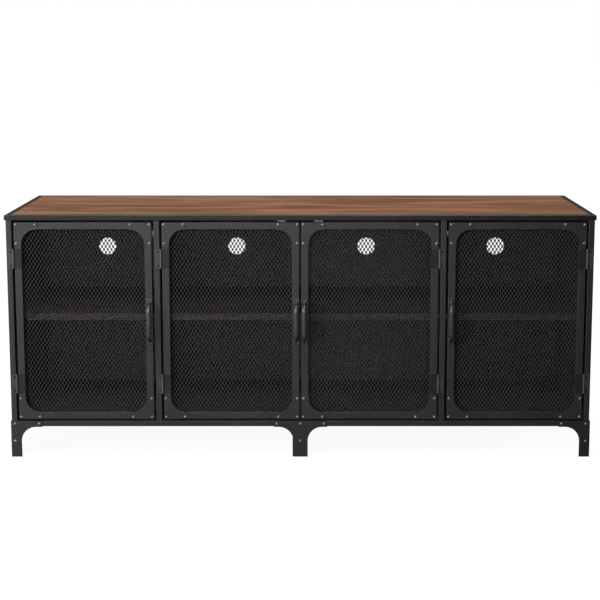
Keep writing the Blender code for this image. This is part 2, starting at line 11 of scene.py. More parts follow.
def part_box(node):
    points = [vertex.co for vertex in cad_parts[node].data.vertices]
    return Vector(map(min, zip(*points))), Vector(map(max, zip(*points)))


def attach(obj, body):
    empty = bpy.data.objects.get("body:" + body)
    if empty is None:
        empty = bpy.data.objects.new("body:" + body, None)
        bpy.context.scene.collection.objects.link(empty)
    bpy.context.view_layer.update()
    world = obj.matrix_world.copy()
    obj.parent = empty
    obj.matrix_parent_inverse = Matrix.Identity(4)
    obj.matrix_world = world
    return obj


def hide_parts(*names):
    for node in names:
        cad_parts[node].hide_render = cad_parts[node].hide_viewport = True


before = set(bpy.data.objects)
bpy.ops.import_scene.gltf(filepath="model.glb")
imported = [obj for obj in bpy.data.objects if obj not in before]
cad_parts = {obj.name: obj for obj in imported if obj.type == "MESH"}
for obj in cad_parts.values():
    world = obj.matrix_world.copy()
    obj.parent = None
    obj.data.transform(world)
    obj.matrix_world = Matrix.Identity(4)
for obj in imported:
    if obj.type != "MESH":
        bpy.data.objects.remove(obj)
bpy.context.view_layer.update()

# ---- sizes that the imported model's boxes don't give ----
FIT = 0.0003  # between pieces that touch
SKIN = 0.0001  # between a plate's sides and the faces of what it is fixed on
TUBE_EDGE = 0.0014  # rounding of the tubes' edges
SEAM = 0.0002  # chamfer where two tubes meet at a mitre
PLATE_EDGE = 0.0005  # rounding of the foot plates
GUSSET_EDGE = 0.0004
TOP_EDGE = 0.0005
BOARD_EDGE = 0.0006
SHELF_EDGE = 0.0008

RING_W = 0.016  # top frame's section, seen from above
STILE = 0.019
DOOR_W = 0.355
DOOR_H = 0.522
DOOR_T = 0.015
GUSSET_LEG = 0.062
GUSSET_T = 0.0015
GUSSET_SINK = 0.0006  # how far a gusset reaches into the door's tubes
GUSSET_ARC = 0.038

RIVET_R = 0.0036
RIVET_H = 0.0016
RIVET_SINK = 0.0004
RIVET_EDGE = 0.0056  # from a plate's outer edge to a rivet
RIVET_ALONG = 0.055  # from a door's corner to the rivet near the end of a gusset's leg
RIVET_SIDES = 20

SCREW_SINK = 0.0003
SCREW_SIDES = 18
# The cross stands for the recess in a screw's head. In a dark material it is painted shade of that recess.
CROSS_LIFT = 0.00002  # the cross on a screw's head
CROSS_T = 0.00004

MESH_DEPTH = 0.0076  # middle of the expanded metal behind the door's face
MESH_T = 0.0010
MESH_COLUMNS = 33
MESH_HALF_ROWS = 63
MESH_INTO_STILE = 0.001
BOND_W = 0.0025  # half widths of the metal between two slits
BOND_H = 0.0025
STRAND_SLOPE = 0.34
STRAND_THIN = 0.00022  # how far a strand's edges draw in at its middle

HANDLE_FOOT_T = 0.0025
HANDLE_FOOT_TIP = 0.0043
HANDLE_FOOT_H = 0.017
HANDLE_FOOT_EDGE = 0.0009
HANDLE_SCREW = (0.0021, 0.0007)  # radius and height of the head
HANDLE_SCREW_IN = 0.0042  # from the handle's end
GRIP_W = 0.0062  # half widths of the grip, across and in depth
GRIP_T = 0.0042
# Half of the bow, from a foot to the grip's middle. Each station is a share of half the handle's length,
# then the shares there of the grip's distance from the door, of its width and of its depth.
HANDLE_BOW = (
    (0.87, 0.04, 0.58, 0.76),
    (0.80, 0.24, 0.54, 0.76),
    (0.755, 0.60, 0.57, 0.79),
    (0.69, 0.88, 0.69, 0.87),
    (0.56, 0.985, 0.90, 0.98),
    (0.33, 1.0, 1.0, 1.0),
)
BOW_SIDES = 32
BOW_SQUARE = 2.7  # exponent of the bow's section: 2 is an ellipse, more is squarer
BOW_CUTS = 5

KNUCKLE_R = 0.0027
KNUCKLE_EASE = 0.0003
KNUCKLE_GAP = 0.00015
KNUCKLE_SIDES = 24
PIN_R = 0.0015
PIN_TIP = 0.6  # the pin's end as a share of its radius
PIN_CHAMFER = 0.0005
PIN_SIDES = 16
PIN_END = 0.001  # pin beyond the knuckles
LEAF_T = 0.0012
LEAF_CORNER = 0.0012
NECK_LAP = 0.001  # how far a leaf's neck reaches into the leaf
LEAF_EDGE = 0.0002
POST_LEAF_REACH = 0.0148
DOOR_LEAF_REACH = 0.0215
HINGE_OUT = 0.0026  # hinge axis in front of the door's face
HINGE_SCREW = (0.0028, 0.0008)
HINGE_SCREW_X = 0.0064  # from the hinge's axis and from its middle
HINGE_SCREW_Z = 0.0182
HINGE_SCREW_OUT = 0.0015  # foot of the head in front of the post

PLATE_T = 0.002
FOLD_R = 0.0022
SOLE = 0.00001  # height of the foot plates' lower edges
FOOT_W = 0.028
CENTRE_FOOT_W = 0.038
FOOT_ARC = 0.038
ARM_Z = 0.081
CORNER_REACH = 0.083
CENTRE_REACH = 0.070
FLANGE_DEPTH = 0.0147
FLANGE_IN = 0.001
FOOT_RIVET_Z = 0.043
FOOT_RIVET_IN = 0.0107
FOOT_RIVET_END = 0.008

HOLE_R = 0.025  # cable holes in the back board
HOLE_Z = 0.4965
HOLE_PITCH = 0.375
HOLE_SIDES = 72
HOLE_EASE = 0.0005

CATCH_EDGE = 0.001
POLE_T = 0.0015
POLE_DEPTH = 0.006
POLE_EDGE = 0.0002
POLE_INSET = 0.002
POLE_FROM_SIDE = 0.003
POLES_PROUD = 0.0015

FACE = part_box("corner_post_front_left")[0].y
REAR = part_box("corner_post_rear_left")[1].y
RAIL_LOW, RAIL_HIGH = (corner.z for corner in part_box("bottom_rail_front"))
RAIL_MIDDLE = (RAIL_LOW + RAIL_HIGH) / 2
BACK = FACE - FIT  # rear faces of the plates, leaves and handles on the front
HINGE_Y = FACE - HINGE_OUT

# ---- the studio ----
FLOOR_HALF = 60
# Within the pool's nearer distance the floor's glow drops to its lower value: a painted shade round the
# object.
FLOOR_GLOW = (0.93, 1.0)
FLOOR_POOL = (0.7, 1.6)  # distances from the middle between which the floor turns white
FLOOR_TONE = 0.12
BRIGHT_SIDE = (-0.6, -0.55, 0.6)
SKY = (-0.7, 0.9, 0.012, 0.14)  # from and to: agreement with the bright side, then the sky's strength
BACK_SIDE = (-0.4, 0.9, 0.2)
BACK_GLOW = (0.35, 1.0, 0.0, 0.22)
# Name, place, target, size, spread in degrees and power of each lamp.
LIGHTS = (
    ("key", (-3.4, -3.1, 1.08), (0.0, 0, 0.4), (1.8, 2.1), 180, 158),
    ("front_top", (-0.25, -1.5, 1.9), (-0.1, 0, 0.5), (1.8, 0.5), 180, 19),
    ("overhead", (0.05, 0.0, 2.5), (0.05, 0, 0.6), (2.2, 1.0), 180, 35),
    ("right_side", (3.2, 0.9, 1.0), (0.76, 0, 0.35), (1.2, 1.0), 180, 30),
    ("fill", (-0.45, -3.0, 0.8), (-0.3, 0, 0.35), (1.6, 1.2), 60, 2.9),
)
CAMERA_PLACE = (0.030, -3.293, 1.091)
CAMERA_TILT = 7.40  # degrees below the horizontal
CAMERA_LENS = 73.2
CAMERA_SENSOR = 36.0
CAMERA_SHIFT = (-0.0198, -0.17)
CAMERA_REACH = 200


# ---- materials ----
class Look:
    """A procedural material in the making. Its coordinates are the object's own, in metres."""

    def __init__(self, name, **sockets):
        self.material = bpy.data.materials.new(name)
        self.material.use_nodes = True
        self.nodes = self.material.node_tree.nodes
        self.links = self.material.node_tree.links
        self.shader = self.nodes["Principled BSDF"]
        for socket, value in sockets.items():
            self.shader.inputs[socket.replace("_", " ")].default_value = value

    def node(self, kind, **links):
        made = self.nodes.new("ShaderNode" + kind)
        for socket, value in links.items():
            self.feed(made.inputs[socket.replace("_", " ")], value)
        return made

    def feed(self, socket, value):
        if isinstance(value, bpy.types.NodeSocket):
            self.links.new(value, socket)
        else:
            socket.default_value = value

    def coords(self, scale=(1, 1, 1), offset=(0, 0, 0)):
        place = self.node("TexCoord").outputs["Object"]
        return self.node("Mapping", Vector=place, Scale=scale, Location=offset).outputs[0]

    def noise(self, vector, scale, detail=2.0, roughness=0.5, distortion=0.0):
        made = self.node("TexNoise", Vector=vector, Scale=scale, Detail=detail)
        made.inputs["Roughness"].default_value = roughness
        made.inputs["Distortion"].default_value = distortion
        return made.outputs["Fac"]

    def ramp(self, fac, *stops):
        made = self.node("ValToRGB", Fac=fac)
        elements = made.color_ramp.elements
        while len(elements) < len(stops):
            elements.new(0.5)
        for element, (place, colour) in zip(elements, stops):
            element.position = place
            element.color = (*colour, 1)
        return made.outputs["Color"]

    def span(self, value, low, high, to_low, to_high):
        made = self.node("MapRange", Value=value)
        made.inputs["From Min"].default_value = low
        made.inputs["From Max"].default_value = high
        made.inputs["To Min"].default_value = to_low
        made.inputs["To Max"].default_value = to_high
        return made.outputs["Result"]

    def mix(self, fac, a, b, blend="MIX"):
        made = self.nodes.new("ShaderNodeMix")
        made.data_type = "RGBA"
        made.blend_type = blend
        self.feed(made.inputs[0], fac)
        for socket, value in ((made.inputs[6], a), (made.inputs[7], b)):
            self.feed(socket, value if isinstance(value, bpy.types.NodeSocket) else (*value, 1))
        return made.outputs[2]

    def bump(self, height, distance, normal=None):
        made = self.node("Bump", Height=height, Distance=distance, Strength=1.0)
        if normal is not None:
            self.links.new(normal, made.inputs["Normal"])
        return made.outputs["Normal"]

    def set(self, socket, value):
        self.links.new(value, self.shader.inputs[socket])


def coated_steel(name, dark, light, rough, specular=0.5, peel=0.00005):
    """Powder coat: an orange-peel skin with a little variation of tone and sheen."""
    look = Look(name, Specular_IOR_Level=specular)
    place = look.coords()
    cloud = look.noise(place, 9.0, 4.0, 0.6)
    speck = look.noise(place, 900.0, 2.0, 0.6)
    tone = look.mix(look.span(cloud, 0.3, 0.7, 0, 1), dark, light)
    tone = look.mix(look.span(speck, 0.62, 0.8, 0, 0.35), tone, tuple(c * 2.2 for c in light))
    look.set("Base Color", tone)
    look.set("Roughness", look.span(cloud, 0.25, 0.75, rough - 0.05, rough + 0.06))
    wave = look.bump(look.noise(place, 380.0, 2.0), peel)
    look.set("Normal", look.bump(speck, peel * 0.4, normal=wave))
    return look.material


def worn_edge(name, coat, bare, rough):
    """The rounded edges of coated steel, where the coat is thinner and rubbed lighter in places."""
    look = Look(name)
    place = look.coords()
    rub = look.noise(place, 34.0, 5.0, 0.7)
    look.set("Base Color", look.mix(look.span(rub, 0.52, 0.72, 0, 1), coat, bare))
    look.set("Roughness", look.span(rub, 0.4, 0.7, rough, rough - 0.12))
    look.set("Normal", look.bump(look.noise(place, 700.0, 2.0), 0.00004))
    return look.material


def enamel(name, dark, light, rough, specular=0.5, metal=0.0):
    """The smoother coat of the small fittings, rubbed towards the metal where metal is above zero."""
    look = Look(name, Specular_IOR_Level=specular, Metallic=metal)
    place = look.coords()
    cloud = look.noise(place, 60.0, 4.0, 0.6)
    look.set("Base Color", look.mix(look.span(cloud, 0.3, 0.72, 0, 1), dark, light))
    look.set("Roughness", look.span(cloud, 0.3, 0.7, rough - 0.04, rough + 0.07))
    look.set("Normal", look.bump(look.noise(place, 520.0, 3.0), 0.00005))
    return look.material


def walnut(name, tones, offset, rough):
    """Walnut laminate with its grain along X: broad bands, streaks, fine fibres and short dark pores."""
    look = Look(name, Specular_IOR_Level=0.1)
    wander = look.noise(look.coords((0.9, 5, 5), offset), 1.0, 2.0)
    drift = look.node("CombineXYZ", Y=look.span(wander, 0, 1, -0.02, 0.02)).outputs[0]
    drifted = look.node("VectorMath", Vector=look.coords((1, 1, 1), offset))
    drifted.operation = "ADD"
    look.feed(drifted.inputs[1], drift)
    place = drifted.outputs[0]

    def streaks(along, across, detail, roughness, distortion=0.0):
        stretched = look.node("Mapping", Vector=place, Scale=(along, across, across)).outputs[0]
        return look.noise(stretched, 1.0, detail, roughness, distortion)

    band = streaks(1.6, 13.0, 3.0, 0.5, 1.4)
    streak = streaks(3.6, 48.0, 4.0, 0.55, 0.8)
    fibre = streaks(9.0, 620.0, 3.0, 0.65)
    pore = streaks(38.0, 1100.0, 2.0, 0.5)
    deep, middle, pale = tones
    tone = look.ramp(band, (0.34, deep), (0.5, middle), (0.66, pale))
    streaky = look.ramp(streak, (0.28, (0.82, 0.78, 0.74)), (0.5, (1, 1, 1)), (0.72, (1.14, 1.13, 1.12)))
    tone = look.mix(1.0, tone, streaky, "MULTIPLY")
    blush = look.noise(look.coords((5, 14, 14), offset), 1.0, 2.0)
    tone = look.mix(look.span(blush, 0.42, 0.66, 0, 0.75), tone, look.mix(1.0, tone, BLUSH, "MULTIPLY"))
    fibres = look.ramp(fibre, (0.25, (0.8, 0.78, 0.76)), (0.55, (1, 1, 1)), (0.8, (1.12, 1.11, 1.1)))
    tone = look.mix(1.0, tone, fibres, "MULTIPLY")
    dark = look.span(pore, 0.66, 0.74, 0, 0.6)
    look.set("Base Color", look.mix(dark, tone, tuple(c * 0.45 for c in deep)))
    look.set("Roughness", look.span(streak, 0.3, 0.7, rough + 0.06, rough - 0.05))
    relief = look.bump(fibre, 0.00006)
    look.set("Normal", look.bump(pore, -0.00005, normal=relief))
    return look.material


def black_board(name, dark, light, rough):
    """Black laminated board with the faint print of a pressed surface."""
    look = Look(name, Specular_IOR_Level=0.35)
    cloud = look.noise(look.coords((3, 3, 9)), 4.0, 4.0)
    print_ = look.noise(look.coords((240, 240, 90)), 1.0, 3.0, 0.6)
    tone = look.mix(look.span(cloud, 0.3, 0.7, 0, 1), dark, light)
    tone = look.mix(look.span(print_, 0.55, 0.75, 0, 0.3), tone, tuple(c * 1.8 for c in light))
    look.set("Base Color", tone)
    look.set("Roughness", look.span(print_, 0.3, 0.7, rough - 0.04, rough + 0.08))
    look.set("Normal", look.bump(print_, 0.00006))
    return look.material


def moulded_plastic(name, dark, light):
    """Satin plastic with a slight unevenness of tone."""
    look = Look(name)
    place = look.coords()
    cloud = look.noise(place, 160.0, 3.0)
    look.set("Base Color", look.mix(look.span(cloud, 0.3, 0.7, 0, 1), dark, light))
    look.set("Roughness", look.span(cloud, 0.3, 0.7, 0.38, 0.5))
    look.set("Normal", look.bump(look.noise(place, 1400.0, 2.0), 0.00002))
    return look.material


def plated_steel(name, dark, light, rough):
    """Bare or plated steel, brushed along Z."""
    look = Look(name, Metallic=1.0)
    place = look.coords((1, 1, 12))
    brush = look.noise(place, 260.0, 3.0, 0.6)
    look.set("Base Color", look.mix(brush, dark, light))
    look.set("Roughness", look.span(brush, 0.3, 0.7, rough - 0.05, rough + 0.08))
    look.set("Normal", look.bump(brush, 0.00002))
    return look.material


# Each walnut has its tones for the dark, the middle and the pale bands.
WALNUT = ((0.105, 0.042, 0.018), (0.190, 0.087, 0.040), (0.282, 0.141, 0.071))
BLUSH = (1.13, 1.00, 1.36)  # what the pinkish patches multiply the tone by
# The shelves' walnut is the top's walnut made darker and greyer: painted shade for the shelves inside the
# cabinet. The tones on the next line are for their front band and are darkened less than those of their
# faces.
SHADED_WALNUT = ((0.054, 0.044, 0.032), (0.086, 0.072, 0.054), (0.120, 0.103, 0.078))
LESS_SHADED_WALNUT = ((0.114, 0.100, 0.078), (0.150, 0.134, 0.108), (0.185, 0.168, 0.137))
FRAME_COAT = coated_steel("frame_coat", (0.0135, 0.0135, 0.0137), (0.0175, 0.0175, 0.0176), 0.46, 0.45)
RIM_COAT = coated_steel("rim_coat", (0.0065, 0.0065, 0.0067), (0.0092, 0.0092, 0.0093), 0.47, 0.32)
DOOR_COAT = coated_steel("door_coat", (0.0140, 0.0140, 0.0142), (0.0180, 0.0180, 0.0181), 0.47)
MESH_COAT = coated_steel("mesh_coat", (0.0165, 0.0165, 0.0167), (0.0220, 0.0220, 0.0220), 0.68, 0.10)
EDGE_COAT = worn_edge("edge_coat", (0.018, 0.018, 0.018), (0.05, 0.049, 0.047), 0.42)
POST_LEAF_ENAMEL = enamel("post_leaf_enamel", (0.027, 0.027, 0.027), (0.036, 0.036, 0.036), 0.42)
DOOR_LEAF_ENAMEL = enamel("door_leaf_enamel", (0.009, 0.009, 0.009), (0.013, 0.013, 0.013), 0.48, 0.3)
BARREL_ENAMEL = enamel("barrel_enamel", (0.050, 0.050, 0.049), (0.078, 0.077, 0.075), 0.46, 0.6, 0.15)
HANDLE_ENAMEL = enamel("handle_enamel", (0.017, 0.017, 0.0163), (0.025, 0.0245, 0.0235), 0.31, 0.85)
RIVET_ENAMEL = enamel("rivet_enamel", (0.16, 0.16, 0.157), (0.25, 0.246, 0.24), 0.40, 0.5, 0.55)
SCREW_ENAMEL = enamel("screw_enamel", (0.004, 0.004, 0.004), (0.007, 0.007, 0.007), 0.5, 0.3)
SCREW_STEEL = plated_steel("screw_steel", (0.03, 0.03, 0.03), (0.07, 0.07, 0.07), 0.36)
WALNUT_TOP = walnut("walnut_top", WALNUT, (0.0, 0.0, 0.0), 0.5)
# The shelves' faces and front band: walnut with painted shade, less of it on the band.
SHADED_SHELF_WALNUT = walnut("shaded_shelf_walnut", SHADED_WALNUT, (3.1, 1.7, 0.6), 0.55)
SHADED_BAND_WALNUT = walnut("shaded_band_walnut", LESS_SHADED_WALNUT, (1.3, 0.4, 2.2), 0.5)
BLACK_BOARD = black_board("black_board", (0.078, 0.078, 0.078), (0.102, 0.102, 0.101), 0.55)
CATCH_PLASTIC = moulded_plastic("catch_grey", (0.40, 0.40, 0.40), (0.47, 0.47, 0.46))
CATCH_STEEL = plated_steel("catch_steel", (0.40, 0.40, 0.41), (0.55, 0.55, 0.56), 0.5)


# ---- building blocks ----
def weights(bm):
    """The layer that says how much of a bevel each edge takes."""
    layers = bm.edges.layers.float
    return layers.get("bevel_weight_edge") or layers.new("bevel_weight_edge")


def piece(name, shape, body, materials, stands_for=(), round_by=0.0, steps=3, by_weight=False):
    """A shown piece from a bmesh or a mesh. round_by rounds its edges, in the last of its materials."""
    if isinstance(shape, bmesh.types.BMesh):
        mesh = bpy.data.meshes.new(name)
        shape.to_mesh(mesh)
        shape.free()
    else:
        mesh = shape
    for material in materials:
        mesh.materials.append(material)
    obj = bpy.data.objects.new(name, mesh)
    bpy.context.scene.collection.objects.link(obj)
    mesh.shade_smooth()
    if round_by:
        rounding = obj.modifiers.new("rounding", "BEVEL")
        rounding.width = round_by
        rounding.segments = steps
        rounding.limit_method = "WEIGHT" if by_weight else "ANGLE"
        rounding.angle_limit = radians(35)
        rounding.harden_normals = True
        rounding.material = len(materials) - 1
    else:
        mesh.set_sharp_from_angle(angle=radians(40))
    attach(obj, body)
    if stands_for:
        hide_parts(*stands_for)
    return obj


def add_prism(bm, outline, out, material=0):
    """A prism from a flat outline of points, moved along out. Returns its new faces."""
    out = Vector(out)
    near = [bm.verts.new(point) for point in outline]
    far = [bm.verts.new(Vector(point) + out) for point in outline]
    faces = [bm.faces.new(near), bm.faces.new(list(reversed(far)))]
    for i, vert in enumerate(near):
        j = (i + 1) % len(near)
        faces.append(bm.faces.new((near[j], vert, far[i], far[j])))
    bmesh.ops.recalc_face_normals(bm, faces=faces)
    for face in faces:
        face.material_index = material
    return faces


def add_box(bm, low, high):
    """A box between two corners. The first of its faces is the front."""
    x0, y0, z0 = low
    x1, y1, z1 = high
    outline = [(x0, y0, z0), (x1, y0, z0), (x1, y0, z1), (x0, y0, z1)]
    return add_prism(bm, outline, (0, y1 - y0, 0))


def add_turned(bm, origin, axis, profile, sides):
    """A body turned about axis from origin. Its profile is (radius, height) pairs from foot to top."""
    turn = Vector(axis).to_track_quat("Z", "Y").to_matrix()
    rings = []
    for radius, height in profile:
        if radius < 1e-7:
            rings.append([bm.verts.new(Vector(origin) + turn @ Vector((0, 0, height)))])
            continue
        ring = []
        for k in range(sides):
            angle = 2 * pi * k / sides
            local = Vector((radius * cos(angle), radius * sin(angle), height))
            ring.append(bm.verts.new(Vector(origin) + turn @ local))
        rings.append(ring)
    faces = []
    for lower, upper in zip(rings, rings[1:]):
        for k in range(sides):
            m = (k + 1) % sides
            if len(lower) == 1:
                faces.append(bm.faces.new((lower[0], upper[m], upper[k])))
            elif len(upper) == 1:
                faces.append(bm.faces.new((lower[k], lower[m], upper[0])))
            else:
                faces.append(bm.faces.new((lower[k], lower[m], upper[m], upper[k])))
    for ring in (rings[0], rings[-1]):
        if len(ring) > 1:
            faces.append(bm.faces.new(ring))
    bmesh.ops.recalc_face_normals(bm, faces=faces)


def dome_profile(radius, height, sink, steps=7):
    """A low dome with a thin rim at its foot."""
    ball = (radius * radius + height * height) / (2 * height)
    reach = asin(radius / ball)
    profile = [(radius, -sink)]
    for k in range(steps):
        angle = reach * (1 - k / steps)
        profile.append((ball * sin(angle), ball * cos(angle) - ball + height))
    return [*profile, (0, height)]


def add_rivet(bm, point, out):
    add_turned(bm, point, out, dome_profile(RIVET_R, RIVET_H, RIVET_SINK), RIVET_SIDES)


def add_screw(bm, point, out, radius, height):
    """A pan head with a cross on it, in the second material. Where that material is dark, the cross is
    painted shade for the recess in the head.
    """
    turn = Vector(out).to_track_quat("Z", "Y").to_matrix()
    profile = [(radius, -SCREW_SINK), (radius, height * 0.45), (radius * 0.86, height), (0, height)]
    add_turned(bm, point, out, profile, SCREW_SIDES)
    arm = radius * 0.62
    half = radius * 0.13
    for along in (0, 1):
        corners = []
        for u, v in ((-arm, -half), (arm, -half), (arm, half), (-arm, half)):
            u, v = (v, u) if along else (u, v)
            corners.append(Vector(point) + turn @ Vector((u, v, height + CROSS_LIFT)))
        add_prism(bm, corners, turn @ Vector((0, 0, CROSS_T)), 1)


def arc_points(centre, radius, start, end, steps=24):
    points = []
    for k in range(steps + 1):
        angle = start + (end - start) * k / steps
        points.append((centre[0] + radius * cos(angle), centre[1] + radius * sin(angle)))
    return points


def add_ring(bm, low, high, bar, depth, to_world):
    """Four tubes mitred into a rectangle. to_world places a point (u, v, depth). A bevel by weight rounds
    the long edges fully and the mitres barely."""
    layer = weights(bm)
    outer = [(low[0], low[1]), (high[0], low[1]), (high[0], high[1]), (low[0], high[1])]
    inner = [
        (low[0] + bar, low[1] + bar),
        (high[0] - bar, low[1] + bar),
        (high[0] - bar, high[1] - bar),
        (low[0] + bar, high[1] - bar),
    ]
    for i in range(4):
        j = (i + 1) % 4
        section = [outer[i], outer[j], inner[j], inner[i]]
        near = [bm.verts.new(to_world(u, v, depth[0])) for u, v in section]
        far = [bm.verts.new(to_world(u, v, depth[1])) for u, v in section]
        faces = [bm.faces.new(near), bm.faces.new(list(reversed(far)))]
        for k in range(4):
            m = (k + 1) % 4
            faces.append(bm.faces.new((near[m], near[k], far[k], far[m])))
        bmesh.ops.recalc_face_normals(bm, faces=faces)
        long_pairs = [{near[0], near[1]}, {near[2], near[3]}, {far[0], far[1]}, {far[2], far[3]}]
        for face in faces:
            for edge in face.edges:
                edge[layer] = 1.0 if set(edge.verts) in long_pairs else SEAM / TUBE_EDGE


# ---- top ----
def top():
    """A mitred steel ring with the walnut board set flush in it."""
    low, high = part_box("top_frame")
    bm = bmesh.new()
    add_ring(bm, low, high, RING_W, (low.z, high.z), lambda u, v, d: (u, v, d))
    coats = [RIM_COAT, EDGE_COAT]
    piece("top_rim", bm, "cabinet", coats, ["top_frame"], TUBE_EDGE, by_weight=True)
    bm = bmesh.new()
    add_box(bm, *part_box("tabletop"))
    piece("walnut_board", bm, "cabinet", [WALNUT_TOP], ["tabletop"], TOP_EDGE, 2)


# ---- frame ----
def bars():
    """The posts and the bottom rails: square tubes with rounded edges."""
    names = [f"corner_post_{y}_{x}" for y in ("front", "rear") for x in ("left", "right")]
    names += ["divider_post_left", "divider_post_right"]
    names += [f"bottom_rail_{side}" for side in ("front", "rear", "left", "right")]
    for name in names:
        bm = bmesh.new()
        add_box(bm, *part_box(name))
        piece(name + "_tube", bm, "cabinet", [FRAME_COAT, EDGE_COAT], [name], TUBE_EDGE)


def corner_outline():
    """One side of a corner foot: (distance from the corner, height) from the sole to the arm's top."""
    bend = arc_points((FOOT_W + FOOT_ARC, ARM_Z - FOOT_ARC), FOOT_ARC, pi, pi / 2)
    return [(FOOT_W, SOLE), *bend, (CORNER_REACH, ARM_Z), (CORNER_REACH, RAIL_HIGH)]


def mirror_of(x_sign, y_sign):
    """Takes the front left foot to each other corner."""
    middle = (FACE + REAR) / 2
    flip = Matrix.Diagonal((x_sign, y_sign, 1, 1))
    return Matrix.Translation((0, middle, 0)) @ flip @ Matrix.Translation((0, -middle, 0))


def finish_foot(name, node, bm, mirror):
    """Thickens a foot's bent sheet inwards into its plate."""
    bm.transform(mirror)
    if mirror.determinant() < 0:
        bmesh.ops.reverse_faces(bm, faces=bm.faces)
    obj = piece(name, bm, "cabinet", [FRAME_COAT, EDGE_COAT], [node], PLATE_EDGE, 2)
    thick = obj.modifiers.new("plate", "SOLIDIFY")
    thick.thickness = PLATE_T
    thick.offset = -1
    thick.use_even_offset = True
    obj.modifiers.move(1, 0)


def foot_rivets(name, spots, mirror):
    """Rivets at spots of (point, outward direction) on the front left foot, taken to this one."""
    bm = bmesh.new()
    for point, out in spots:
        add_rivet(bm, point, out)
    bm.transform(mirror)
    if mirror.determinant() < 0:
        bmesh.ops.reverse_faces(bm, faces=bm.faces)
    piece(name, bm, "cabinet", [RIVET_ENAMEL])


def corner_feet():
    """Each is one plate, bent round the corner."""
    x0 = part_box("foot_front_left")[0].x + RIVET_H
    y0 = BACK - PLATE_T
    outline = corner_outline()
    arm_end = CORNER_REACH - FOOT_RIVET_END
    spots = ((FOOT_RIVET_IN, RAIL_MIDDLE), (arm_end, RAIL_MIDDLE), (FOOT_RIVET_IN, FOOT_RIVET_Z))
    rivets = [(Vector((x0 + u, y0, z)), (0, -1, 0)) for u, z in spots]
    rivets += [(Vector((x0, y0 + u, z)), (-1, 0, 0)) for u, z in spots]
    for y_name, y_sign in (("front", 1), ("rear", -1)):
        for x_name, x_sign in (("left", 1), ("right", -1)):
            bm = bmesh.new()
            fold = [bm.verts.new((x0, y0, SOLE)), bm.verts.new((x0, y0, RAIL_HIGH))]
            front = [bm.verts.new((x0 + u, y0, z)) for u, z in outline]
            side = [bm.verts.new((x0, y0 + u, z)) for u, z in outline]
            bm.faces.new([fold[0], *front, fold[1]])
            bm.faces.new([fold[1], *reversed(side), fold[0]])
            edge = bm.edges.get(fold)
            bmesh.ops.bevel(bm, geom=[edge], offset=FOLD_R, segments=5, affect="EDGES", profile=0.5)
            mirror = mirror_of(x_sign, y_sign)
            node = f"foot_{y_name}_{x_name}"
            finish_foot(node + "_plate", node, bm, mirror)
            foot_rivets(node + "_rivets", rivets, mirror)


def centre_feet():
    """Each is a flat plate with two flanges bent back from its leg."""
    half = CENTRE_FOOT_W / 2
    y0 = BACK - PLATE_T
    bend = arc_points((half + FOOT_ARC, ARM_Z - FOOT_ARC), FOOT_ARC, pi, pi / 2)
    right = [(half, SOLE), *bend, (CENTRE_REACH, ARM_Z), (CENTRE_REACH, RAIL_HIGH)]
    outline = right + [(-x, z) for x, z in reversed(right)]
    spots = [(0, RAIL_MIDDLE), (0, FOOT_RIVET_Z)]
    spots += [(sign * (CENTRE_REACH - FOOT_RIVET_END), RAIL_MIDDLE) for sign in (-1, 1)]
    rivets = [(Vector((x, y0, z)), (0, -1, 0)) for x, z in spots]
    for y_name, y_sign in (("front", 1), ("rear", -1)):
        bm = bmesh.new()
        bm.faces.new([bm.verts.new((x, y0, z)) for x, z in outline])
        for sign in (-1, 1):
            x = sign * (half - SKIN)
            near = y0 + FLANGE_IN
            far = y0 + FLANGE_DEPTH
            flange = [(near, SKIN), (far, SKIN), (far, RAIL_LOW), (near, RAIL_LOW)]
            face = bm.faces.new([bm.verts.new((x, y, z)) for y, z in flange])
            if face.normal.x * sign < 0:
                face.normal_flip()
        mirror = mirror_of(1, y_sign)
        node = f"foot_{y_name}_centre"
        finish_foot(node + "_plate", node, bm, mirror)
        foot_rivets(node + "_rivets", rivets, mirror)


# ---- boards and catches ----
def boards():
    sides = [f"{kind}_{side}" for kind in ("side_panel", "partition") for side in ("left", "right")]
    for name in ("bottom_panel", *sides):
        bm = bmesh.new()
        add_box(bm, *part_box(name))
        piece(name + "_board", bm, "cabinet", [BLACK_BOARD], [name], BOARD_EDGE, 2)
    for side in ("left", "centre", "right"):
        bm = bmesh.new()
        # The front band takes the walnut with less painted shade than the shelf's faces.
        front = add_box(bm, *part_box(f"shelf_{side}"))[0]  # edged with a lighter band
        front.material_index = 1
        layers = [SHADED_SHELF_WALNUT, SHADED_BAND_WALNUT]
        node = f"shelf_{side}"
        piece(node + "_board", bm, "cabinet", layers, [node], SHELF_EDGE, 2)


def back_board():
    """A thin board with four round cable holes, their edges eased."""
    low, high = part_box("back_panel")
    centre = (low + high) / 2
    curve = bpy.data.curves.new("back_board", "CURVE")
    curve.dimensions = "2D"
    curve.fill_mode = "BOTH"
    curve.bevel_depth = HOLE_EASE
    curve.bevel_resolution = 2
    curve.offset = -HOLE_EASE
    curve.extrude = (high.y - low.y) / 2 - HOLE_EASE
    rims = [[(low.x, low.z), (high.x, low.z), (high.x, high.z), (low.x, high.z)]]
    for place in (-1.5, -0.5, 0.5, 1.5):
        rims.append(arc_points((place * HOLE_PITCH, HOLE_Z), HOLE_R, 0, 2 * pi, HOLE_SIDES)[:-1])
    for rim in rims:
        spline = curve.splines.new("POLY")
        spline.points.add(len(rim) - 1)
        for point, (x, z) in zip(spline.points, rim):
            point.co = (x, z, 0, 1)
        spline.use_cyclic_u = True
    helper = bpy.data.objects.new("back_board_curve", curve)
    bpy.context.scene.collection.objects.link(helper)
    mesh = bpy.data.meshes.new_from_object(helper.evaluated_get(bpy.context.evaluated_depsgraph_get()))
    bpy.data.objects.remove(helper)
    mesh.transform(Matrix.Translation((0, centre.y, 0)) @ Matrix.Rotation(pi / 2, 4, "X"))
    mesh.materials.clear()
    piece("back_board", mesh, "cabinet", [BLACK_BOARD], ["back_panel"])


